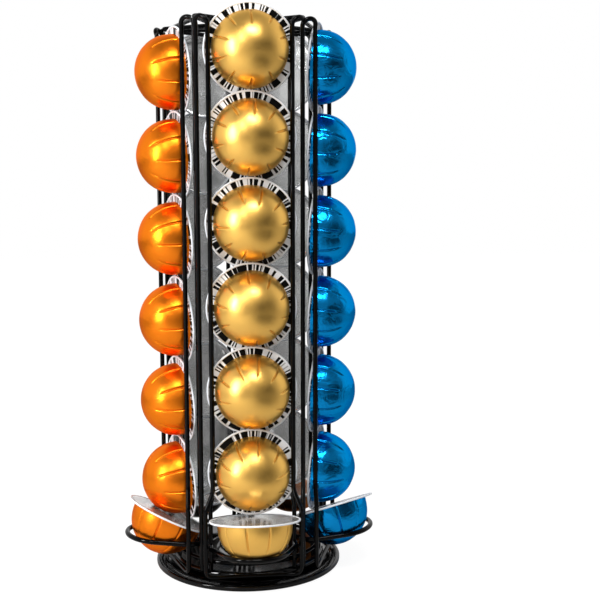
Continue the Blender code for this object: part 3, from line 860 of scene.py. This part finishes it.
def capsule_angles(count):
    """Angles round a capsule, closer together at each groove."""
    beside = [cut / DOME_R for cut in GROOVE_CUTS]
    near = [-angle for angle in reversed(beside)] + [0.0] + beside
    step = 2 * math.pi / count
    free = step - 2 * near[-1]
    far = [near[-1] + free * share for share in GROOVE_GAP_SHARES]
    return [step * index + angle for index in range(count) for angle in near + far]


def finish_piece(item, body, slot, *nodes):
    """Tell the frame what a piece rides on and stands for."""
    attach(item, body)
    if nodes:
        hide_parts(*nodes)


# Operators

class RACK_OT_capsules(bpy.types.Operator):
    """Press every capsule from foil and stand it in its column"""

    bl_idname = "rack.capsules"
    bl_label = "Capsules"

    def execute(self, context):
        settings = context.scene.rack.capsule
        tree = capsule_tree()
        points, zones = capsule_outline(settings.bead_radius)
        angles = capsule_angles(settings.grooves)
        dice = random.Random(CAPSULE_SEED)
        shared = {"Print": print_material(), "Bead": bead_material(), "Lid": lid_material()}
        for column, name in enumerate(COLUMN_NAMES):
            foil = foil_material(name, getattr(settings, name))
            for number in range(1, STANDING + 2):
                title = f"{name}_capsule_shell_{number}"
                mesh = turned_mesh(title, points, angles, zones)
                seed = round(dice.uniform(*NOISE_SEEDS), 3)
                item = grown(title, mesh, tree, {
                    "Grooves": settings.grooves, "Groove depth": settings.groove_depth,
                    "Groove half width": settings.groove_half,
                    "Dent depth": settings.dent_depth * FOILS[name].dents,
                    "Crinkle depth": settings.crinkle_depth,
                    "Seed": seed, "Foil": foil, **shared})
                spin = Matrix.Rotation(dice.uniform(0, 2 * math.pi), 4, "Z")
                item.data.transform(capsule_place(column, number) @ spin)
                shift = dice.random()
                for corner in item.data.uv_layers["polar"].uv:
                    corner.vector.x += shift
                body = "top" if number == 1 else "pick" if number > STANDING else "stack"
                finish_piece(item, f"{name}_{body}", f"{name}_foil", f"{name}_capsule_{number}")
        return {"FINISHED"}


def make_wire(title, path, radius, node, closed=False):
    """One painted wire that stands for its node."""
    tree = bpy.data.node_groups.get(WIRE_TREE) or wire_tree()
    item = grown(title, path_mesh(title, path, closed), tree,
                 {"Radius": radius, "Sides": WIRE_SIDES, "Paint": wire_paint()})
    finish_piece(item, "carousel", "black_wire", node)


def make_column_wires(title, path, radius, node):
    """The same wire in every column."""
    for column in range(len(COLUMN_NAMES)):
        make_wire(f"{title}_{column + 1}", in_column(column, path), radius,
                  f"{node}_{column + 1}")


class RACK_OT_guard_wires(bpy.types.Operator):
    """Bend the guard wires in front of the capsules"""

    bl_idname = "rack.guard_wires"
    bl_label = "Guard wires"

    def execute(self, context):
        make_column_wires("guard_wire_run", guard_path(), context.scene.rack.wire.guard_radius,
                          "guard_wire")
        return {"FINISHED"}


class RACK_OT_back_rails(bpy.types.Operator):
    """Bend the rails behind the lids"""

    bl_idname = "rack.back_rails"
    bl_label = "Back rails"

    def execute(self, context):
        make_column_wires("back_rail_run", back_path(), context.scene.rack.wire.back_radius,
                          "back_rail")
        return {"FINISHED"}


class RACK_OT_cradles(bpy.types.Operator):
    """Bend the cradles under the lying capsules"""

    bl_idname = "rack.cradles"
    bl_label = "Cradles"

    def execute(self, context):
        make_column_wires("cradle_loop", cradle_path(), context.scene.rack.wire.cradle_radius,
                          "cradle")
        return {"FINISHED"}


class RACK_OT_ties(bpy.types.Operator):
    """Bend the star at the top and the ring low down"""

    bl_idname = "rack.ties"
    bl_label = "Star and tie ring"

    def execute(self, context):
        radius = context.scene.rack.wire.tie_radius
        star = in_column(0, star_path())
        make_wire("top_star_wire", star, radius, "top_star", closed=True)
        make_wire("lower_tie_wire", ring_path(), radius, "lower_tie_ring", closed=True)
        return {"FINISHED"}


def weld_points():
    """Where wires meet one another and the disc."""
    low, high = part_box("lower_tie_ring")
    ring_z = (low.z + high.z) / 2
    points = []
    for column in range(len(COLUMN_NAMES)):
        local = []
        for side in (-1, 1):
            slope = math.tan(CRADLE_SLOPE)
            back_z = CRADLE_LEG_Z + (CRADLE_END - FOOT_PLANE) * slope
            local += [
                Vector((side * (FOOT_HALF - WIRE_R), FOOT_PLANE, CRADLE_LEG_Z)),
                Vector((side * (CRADLE_HALF - CLEAR), BACK_PLANE + BACK_WIRE_R, back_z)),
                Vector((side * (BACK_FOOT_HALF + BACK_WIRE_R * WELD_SIDE_SHARE),
                        BACK_PLANE + BACK_WIRE_R, ring_z)),
                Vector((side * BACK_FOOT_HALF, BACK_PLANE, DISC_TOP_Z)),
            ]
        local += [gap_point(1, FOOT_Z, DISC_R), gap_point(1, TOP_Z, GAP_POST_R + STAR_TIP_OUT),
                  gap_point(1, TOP_Z - HAIRPIN_RISE)]
        points += in_column(column, local)
    return points


class RACK_OT_welds(bpy.types.Operator):
    """Put a lump of weld wherever two wires meet"""

    bl_idname = "rack.welds"
    bl_label = "Welds"

    def execute(self, context):
        mesh = bpy.data.meshes.new("wire_welds")
        mesh.from_pydata(weld_points(), [], [])
        item = grown("wire_welds", mesh, weld_tree(), {
            "Radius": context.scene.rack.wire.weld_radius, "Seed": WELD_SEED,
            "Paint": wire_paint()})
        finish_piece(item, "carousel", "black_wire")
        return {"FINISHED"}


def turned_piece(title, outline, shade, body, slot, *nodes):
    """A turned piece, shaded smooth all over."""
    angles = [2 * math.pi * side / DISC_SIDES for side in range(DISC_SIDES)]
    mesh = turned_mesh(title, outline, angles)
    mesh.materials.append(shade)
    item = bpy.data.objects.new(title, mesh)
    bpy.context.scene.collection.objects.link(item)
    finish_piece(item, body, slot, *nodes)


def arc(centre_r, centre_z, radius, start, end, steps):
    """Points of an arc in a piece's outline, angles in degrees."""
    return [(centre_r + radius * math.cos(math.radians(start + (end - start) * step / steps)),
             centre_z + radius * math.sin(math.radians(start + (end - start) * step / steps)))
            for step in range(steps + 1)]


class RACK_OT_turntable(bpy.types.Operator):
    """Press the turntable disc"""

    bl_idname = "rack.turntable"
    bl_label = "Turntable disc"

    def execute(self, context):
        paint = paint_material("black_disc", DISC_PAINT)
        top, thick, edge = DISC_TOP_Z, DISC_T, DISC_EDGE
        hole, low, brim = RIVET_HOLE_R, top - DISC_DEPTH, top - DISC_STEP
        inner_step, outer_step = (DISC_R * share for share in DISC_STEP_SHARES)
        outline = [(hole, top - thick), (hole, top), (inner_step, top)]
        outline += arc(inner_step, top - DISC_ROUND, DISC_ROUND, 90, 20, 4)
        outline += [(outer_step, brim), (DISC_R - edge - DISC_BEND_RUN, brim)]
        outline += arc(DISC_R - edge, brim - edge + DISC_SKIN, edge - DISC_SKIN, 88, 0, 8)
        outline += [(DISC_R, low + DISC_LIP), (DISC_R - DISC_LIP, low), (DISC_R - thick, low)]
        outline += arc(DISC_R - edge, brim - edge, edge - thick, 0, 90, 6)
        outline += [(hole, top - thick)]
        turned_piece("turntable_plate", outline, paint, "carousel", "black_disc",
                     "turntable_disc")
        return {"FINISHED"}


class RACK_OT_base(bpy.types.Operator):
    """Press the base dish and finish the rivet, the bearing and the pad"""

    bl_idname = "rack.base"
    bl_label = "Base dish"

    def execute(self, context):
        paint = paint_material("black_dish", DISH_PAINT)
        rim, rim_h, roll = DISH_R, DISH_RIM_H, DISH_ROLL
        floor, thick, lift, hole = DISH_FLOOR_Z, DISH_T, DISH_LIFT, RIVET_HOLE_R
        inner = rim - DISH_RIM_W
        outline = [(hole, floor - thick), (hole, floor)]
        outline += [(inner - inside, floor - deep) for inside, deep in DISH_STEPS]
        outline += arc(inner + DISH_BROW_IN, rim_h - DISH_BROW_R, DISH_BROW_R, 170, 90, 4)
        outline += arc(rim - roll, rim_h - roll, roll, 90, 0, 6)
        outline += arc(rim - roll, lift + roll, roll, 0, -90, 6)
        outline += [(inner, lift), (inner, floor - thick), (hole, floor - thick)]
        turned_piece("dish_plate", outline, paint, "base", "black_dish", "base_dish")
        for node, details in HIDDEN_FINISHES.items():
            shade = plain_material(*details)
            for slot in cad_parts[node].material_slots:
                slot.material = shade
        return {"FINISHED"}


def softbox(name, power):
    """An area lamp that faces the rack; heading is from the front towards the right."""
    heading, elevation, distance, width, height = LAMPS[name]
    lamp = bpy.data.lights.new(name, "AREA")
    lamp.shape = "RECTANGLE"
    lamp.size = width
    lamp.size_y = height
    lamp.energy = power
    item = bpy.data.objects.new(name, lamp)
    bpy.context.scene.collection.objects.link(item)
    across, up = math.radians(heading), math.radians(elevation)
    away = Vector((math.sin(across) * math.cos(up), -math.cos(across) * math.cos(up),
                   math.sin(up)))
    item.location = LAMP_TARGET + away * distance
    item.rotation_mode = "QUATERNION"
    item.rotation_quaternion = (-away).to_track_quat("-Z", "Y")


class RACK_OT_stage(bpy.types.Operator):
    """Set up the floor, the light and the camera"""

    bl_idname = "rack.stage"
    bl_label = "Stage"

    def execute(self, context):
        settings = context.scene.rack.stage
        scene = context.scene
        scene.view_settings.view_transform = "Standard"
        if settings.keep_floor:
            self.make_floor()
        self.make_world(scene)
        softbox("left_softbox", settings.key_power)
        softbox("high_softbox", settings.top_power)
        softbox("corner_softbox", settings.corner_power)
        camera = bpy.data.cameras.new("camera")
        camera.lens = settings.lens
        camera.sensor_width = SENSOR_WIDTH
        item = bpy.data.objects.new("camera", camera)
        item.location = CAMERA_PLACE
        item.rotation_euler = [math.radians(angle) for angle in CAMERA_ANGLES]
        scene.collection.objects.link(item)
        scene.camera = item
        return {"FINISHED"}

    def make_floor(self):
        """Pale floor that keeps a faint shadow, with a dark spot that only foil mirrors."""
        mesh = bpy.data.meshes.new("floor")
        half = FLOOR_HALF
        mesh.from_pydata([(-half, -half, 0), (half, -half, 0), (half, half, 0),
                          (-half, half, 0)], [], [(0, 1, 2, 3)])
        floor = bpy.data.objects.new("floor", mesh)
        bpy.context.scene.collection.objects.link(floor)
        shade = bpy.data.materials.new("pale_floor")
        shade.use_nodes = True
        tree = Tree(shade.node_tree)
        shader = shade.node_tree.nodes["Principled BSDF"]
        shader.inputs["Roughness"].default_value = 0.9
        away = tree.add("ShaderNodeVectorMath", object_place(tree), SPOT_PLACE,
                        operation="DISTANCE", out=1)
        path = shade.node_tree.nodes.new("ShaderNodeLightPath")
        level = tree.math("MAXIMUM", tree.ramp(away, SPOT_NEAR, SPOT_FAR, FLOOR_DARK, FLOOR_PALE),
                          tree.math("MULTIPLY", path.outputs["Is Camera Ray"], FLOOR_PALE))
        tree.fill(shader.inputs["Base Color"],
                  tree.add("ShaderNodeCombineColor", level, level, level))
        glow = tree.add("ShaderNodeEmission", (1, 1, 1, 1), GLOW)
        seen = tree.math("MULTIPLY", path.outputs["Is Camera Ray"], GLOW_SHARE)
        both = tree.add("ShaderNodeMixShader", seen, shader.outputs[0], glow)
        out = shade.node_tree.nodes["Material Output"]
        tree.fill(out.inputs["Surface"], both)
        mesh.materials.append(shade)

    def make_world(self, scene):
        """White surroundings behind the rack, darker in front, and a dimmer ceiling."""
        world = bpy.data.worlds.new("studio")
        scene.world = world
        world.use_nodes = True
        tree = Tree(world.node_tree)
        heading = tree.add("ShaderNodeTexCoord")
        split = tree.add("ShaderNodeSeparateXYZ", heading).node
        behind = tree.ramp(split.outputs[1], *BACK_SPAN)
        toward = tree.add("ShaderNodeVectorMath", heading, ROOM_TOWARDS,
                          operation="DOT_PRODUCT", out=1)
        room = tree.ramp(toward, *ROOM_SPAN)
        path = world.node_tree.nodes.new("ShaderNodeLightPath")
        above = tree.ramp(split.outputs[2], *CEILING_SPAN)
        level = tree.math("MAXIMUM", tree.math("MULTIPLY", tree.math("MULTIPLY", behind, room),
                                               above), path.outputs["Is Camera Ray"])
        background = world.node_tree.nodes["Background"]
        background.inputs["Color"].default_value = (1, 1, 1, 1)
        tree.fill(background.inputs["Strength"], level)


OPERATORS = (RACK_OT_stage, RACK_OT_base, RACK_OT_turntable, RACK_OT_guard_wires,
             RACK_OT_back_rails, RACK_OT_cradles, RACK_OT_ties, RACK_OT_welds,
             RACK_OT_capsules)


class RACK_PT_panel(bpy.types.Panel):
    """Buttons for every piece of the rack"""

    bl_label = "Capsule Carousel"
    bl_idname = "RACK_PT_panel"
    bl_space_type = "VIEW_3D"
    bl_region_type = "UI"
    bl_category = "Capsule Carousel"

    def draw(self, context):
        for operator in OPERATORS:
            self.layout.operator(operator.bl_idname)
        for group in (context.scene.rack.capsule, context.scene.rack.wire,
                      context.scene.rack.stage):
            box = self.layout.box()
            for name in group.__annotations__:
                box.prop(group, name)


CLASSES = (CapsuleSettings, WireSettings, StageSettings, RackSettings, *OPERATORS,
           RACK_PT_panel)


def register():
    """Register the add-on's classes."""
    for item in CLASSES:
        bpy.utils.register_class(item)
    bpy.types.Scene.rack = PointerProperty(type=RackSettings)


def unregister():
    """Take the add-on's classes away again."""
    del bpy.types.Scene.rack
    for item in reversed(CLASSES):
        bpy.utils.unregister_class(item)


def main():
    """Build the whole rack."""
    register()
    for operator in OPERATORS:
        group, name = operator.bl_idname.split(".")
        getattr(getattr(bpy.ops, group), name)()


if __name__ == "__main__":
    main()
